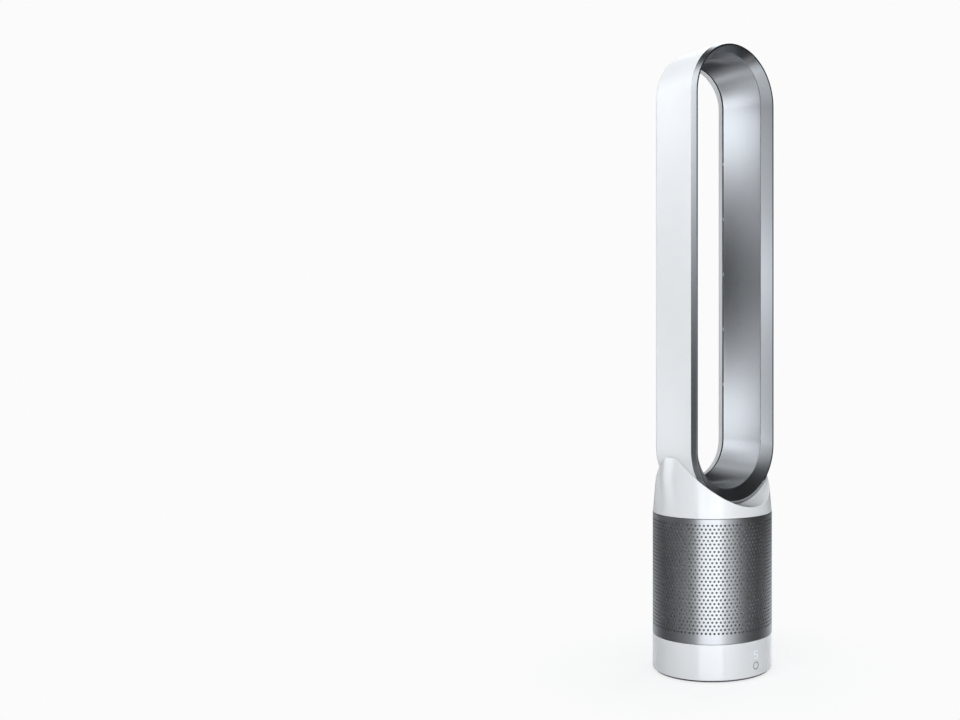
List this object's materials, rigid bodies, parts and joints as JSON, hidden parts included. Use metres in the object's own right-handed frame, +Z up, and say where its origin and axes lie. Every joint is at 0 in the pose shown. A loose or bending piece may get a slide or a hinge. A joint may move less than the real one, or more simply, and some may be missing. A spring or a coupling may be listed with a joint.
{
  "type": "bladeless fan",
  "caption": "Bladeless tower fan: a tall hollow loop with an air slot on a filter cartridge in a perforated shroud, on a swivelling foot.",
  "frame": {"origin": "middle of the floor under the foot", "axes": "+Z up the tower, -Y out of the front, +X to the viewer's right from the front"},
  "size_m": [0.196, 0.196, 1.018],
  "materials": {
    "white_gloss": "gloss moulded white",
    "loop_silver": "satin silver lacquer",
    "shroud_metal": "satin silver lacquer, perforated",
    "foot_grey": "matte dark grey",
    "feet_rubber": "matte",
    "acetal": "natural acetal",
    "steel": "plain",
    "black_plastic": "matte moulded",
    "grey_plastic": "matte moulded",
    "spacer_plastic": "matte moulded",
    "ring_grey": "satin grey",
    "board_green": "solder resist",
    "filter_paper": "pleated",
    "carbon": "granular",
    "motor_can": "turned",
    "seal_rubber": "soft black",
    "lens_milky": "milky"
  },
  "bodies": {
    "base": {"base_plate": "foot_grey", "rubber_feet": "feet_rubber", "glide_ring": "acetal", "pivot_spindle": "steel", "spindle_retainer": "steel", "gear_sector": "acetal", "foot_screws": "steel"},
    "tower": {"lower_housing": "white_gloss", "chassis": "black_plastic", "chassis_screws": "steel", "top_deck": "black_plastic", "deck_screws": "steel", "button_ring": "ring_grey", "front_bracket": "black_plastic", "display_module": "black_plastic", "display_lens": "lens_milky", "tact_switch": "black_plastic", "main_board": "board_green", "power_supply": "grey_plastic", "oscillation_motor": "motor_can", "air_sensor": "black_plastic", "cord_gland": "seal_rubber", "motor_bucket": "grey_plastic", "bucket_seal": "seal_rubber", "diffuser": "grey_plastic", "fan_motor": "motor_can", "tail_cone": "grey_plastic", "motor_isolators": "seal_rubber"},
    "pinion": {"drive_pinion": "acetal"},
    "impeller_rotor": {"impeller": "black_plastic", "motor_shaft": "steel"},
    "button": {"power_button": "white_gloss"},
    "filter": {"shroud": "shroud_metal", "filter_bottom_cap": "black_plastic", "filter_top_cap": "black_plastic", "hepa_media": "filter_paper", "carbon_sleeve": "carbon", "inner_core": "black_plastic", "filter_gasket": "seal_rubber"},
    "loop": {"loop_shell": "white_gloss", "loop_ring": "loop_silver", "slot_spacers": "spacer_plastic", "collar": "white_gloss", "air_duct": "grey_plastic"},
    "release": {"release_button": "ring_grey"}
  },
  "joints": [
    {"name": "oscillation", "type": "hinge", "parent": "base", "child": "tower", "pos_m": [0, 0, 0.016], "axis": [0, 0, 1], "range_deg": [-35, 35]},
    {"name": "pinion_spin", "type": "hinge", "parent": "tower", "child": "pinion", "pos_m": [0, 0.04375, 0.012], "axis": [0, 0, 1], "range_deg": [-140, 140]},
    {"name": "impeller_spin", "type": "hinge", "parent": "tower", "child": "impeller_rotor", "pos_m": [0, 0, 0.19], "axis": [0, 0, 1], "continuous": true},
    {"name": "power_press", "type": "slide", "parent": "tower", "child": "button", "axis": [0, 1, 0], "range_m": [0, 0.001], "stiffness_N_per_m": 800},
    {"name": "filter_lift", "type": "slide", "parent": "tower", "child": "filter", "axis": [0, 0, 1], "range_m": [0, 0.21]},
    {"name": "loop_lift", "type": "slide", "parent": "filter", "child": "loop", "axis": [0, 0, 1], "range_m": [0, 0.15]},
    {"name": "release_press", "type": "slide", "parent": "loop", "child": "release", "axis": [0, -1, 0], "range_m": [0, 0.0025], "stiffness_N_per_m": 600}
  ],
  "couplings": [
    {"joint": "pinion_spin", "follows": "oscillation", "ratio": 4}
  ]
}
